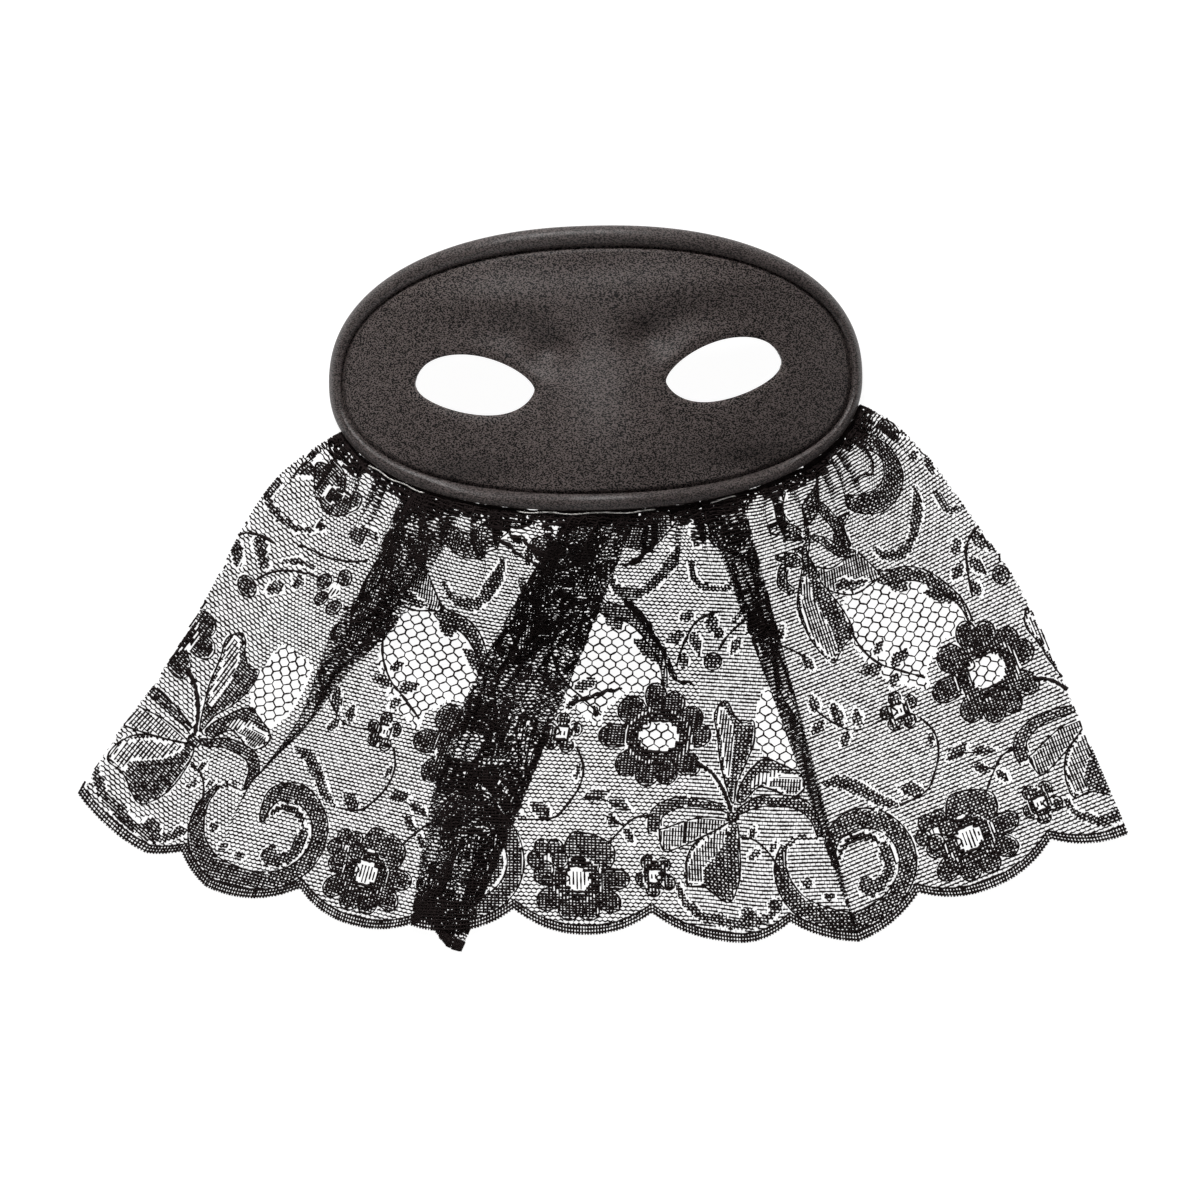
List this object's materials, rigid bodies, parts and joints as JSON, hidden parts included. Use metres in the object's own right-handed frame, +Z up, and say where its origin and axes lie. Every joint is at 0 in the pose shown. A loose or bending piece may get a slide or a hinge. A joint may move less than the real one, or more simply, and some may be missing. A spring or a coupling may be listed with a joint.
{
  "type": "veiled eye mask",
  "caption": "Padded oval eye mask with almond eye openings, a rolled edge tape and a gathered, scalloped lace veil hanging over the lower face.",
  "frame": {"origin": "middle of the whole mask's box, on the table it lies on face up", "axes": "+X towards the viewer's right along the mask's width, +Y from the veil towards the forehead, +Z up out of the mask's face"},
  "size_m": [0.3464, 0.2392, 0.0455],
  "materials": {
    "satin": "dark brown-black satin cloth over a stiff moulded form, soft sheen, fine weave",
    "edge_tape": "the same satin folded over the edge as a soft padded roll",
    "lace": "black machine-made nylon lace, flowers and scrolls on a net ground",
    "thread": "pale cotton gathering thread"
  },
  "bodies": {
    "root": {"mask_shell": "satin", "edge_binding": "edge_tape", "lace_veil": "lace", "gathering_thread": "thread"}
  },
  "joints": []
}
